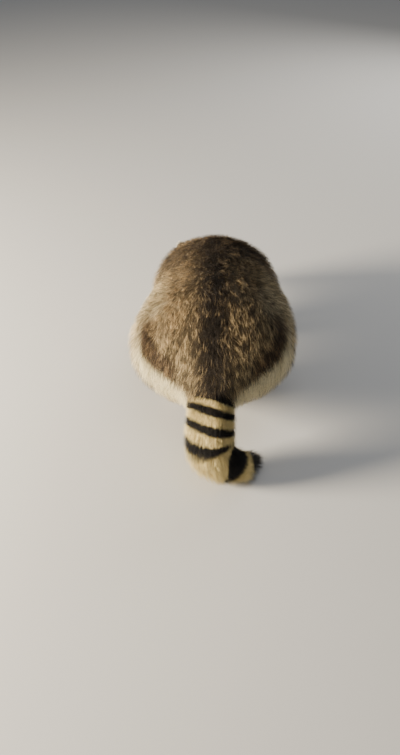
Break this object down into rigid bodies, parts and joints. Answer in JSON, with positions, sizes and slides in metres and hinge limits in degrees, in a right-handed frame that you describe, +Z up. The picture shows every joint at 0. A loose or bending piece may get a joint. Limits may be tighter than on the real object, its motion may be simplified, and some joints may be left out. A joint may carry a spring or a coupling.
{
  "type": "raccoon",
  "caption": "Life-size raccoon in thick coat, walking with its head low, with a dark face mask and a ringed tail curled to one side.",
  "frame": {"origin": "on the ground, under the middle of the space that the animal takes up", "axes": "+Z up, the animal faces -Y, its left side is +X"},
  "size_m": [0.3472, 0.706, 0.3085],
  "materials": {
    "coat_grizzled": "dense matt fur, grizzled buff, brown and black",
    "coat_nape": "dense matt fur, dark brown",
    "coat_face": "short matt fur with a black mask and pale brow",
    "coat_muzzle": "short pale fur with a dark stripe along the top",
    "coat_limb": "matt fur, brown",
    "coat_paw": "very short dark fur",
    "ear": "short fur with a pale rim",
    "tail_pale": "long matt fur, cream",
    "tail_dark": "long matt fur, near black",
    "nose_leather": "damp black leather",
    "claw_horn": "smooth dark horn",
    "eye": "wet and glossy, near black"
  },
  "bodies": {
    "root": {"ear_left": "ear", "ear_right": "ear", "eye_left": "eye", "eye_right": "eye", "fore_claw_left_1": "claw_horn", "fore_claw_left_2": "claw_horn", "fore_claw_left_3": "claw_horn", "fore_claw_left_4": "claw_horn", "fore_claw_left_5": "claw_horn", "fore_claw_right_1": "claw_horn", "fore_claw_right_2": "claw_horn", "fore_claw_right_3": "claw_horn", "fore_claw_right_4": "claw_horn", "fore_claw_right_5": "claw_horn", "fore_leg_left": "coat_limb", "fore_leg_right": "coat_limb", "fore_paw_left": "coat_paw", "fore_paw_right": "coat_paw", "head": "coat_face", "hind_claw_left_1": "claw_horn", "hind_claw_left_2": "claw_horn", "hind_claw_left_3": "claw_horn", "hind_claw_left_4": "claw_horn", "hind_claw_left_5": "claw_horn", "hind_claw_right_1": "claw_horn", "hind_claw_right_2": "claw_horn", "hind_claw_right_3": "claw_horn", "hind_claw_right_4": "claw_horn", "hind_claw_right_5": "claw_horn", "hind_leg_left": "coat_limb", "hind_leg_right": "coat_limb", "hind_paw_left": "coat_paw", "hind_paw_right": "coat_paw", "muzzle": "coat_muzzle", "neck": "coat_nape", "nose": "nose_leather", "tail_01_dark": "tail_dark", "tail_02_pale": "tail_pale", "tail_03_dark": "tail_dark", "tail_04_pale": "tail_pale", "tail_05_dark": "tail_dark", "tail_06_pale": "tail_pale", "tail_07_dark": "tail_dark", "tail_08_pale": "tail_pale", "tail_09_dark": "tail_dark", "tail_10_pale": "tail_pale", "tail_11_dark": "tail_dark", "trunk": "coat_grizzled"}
  },
  "joints": []
}
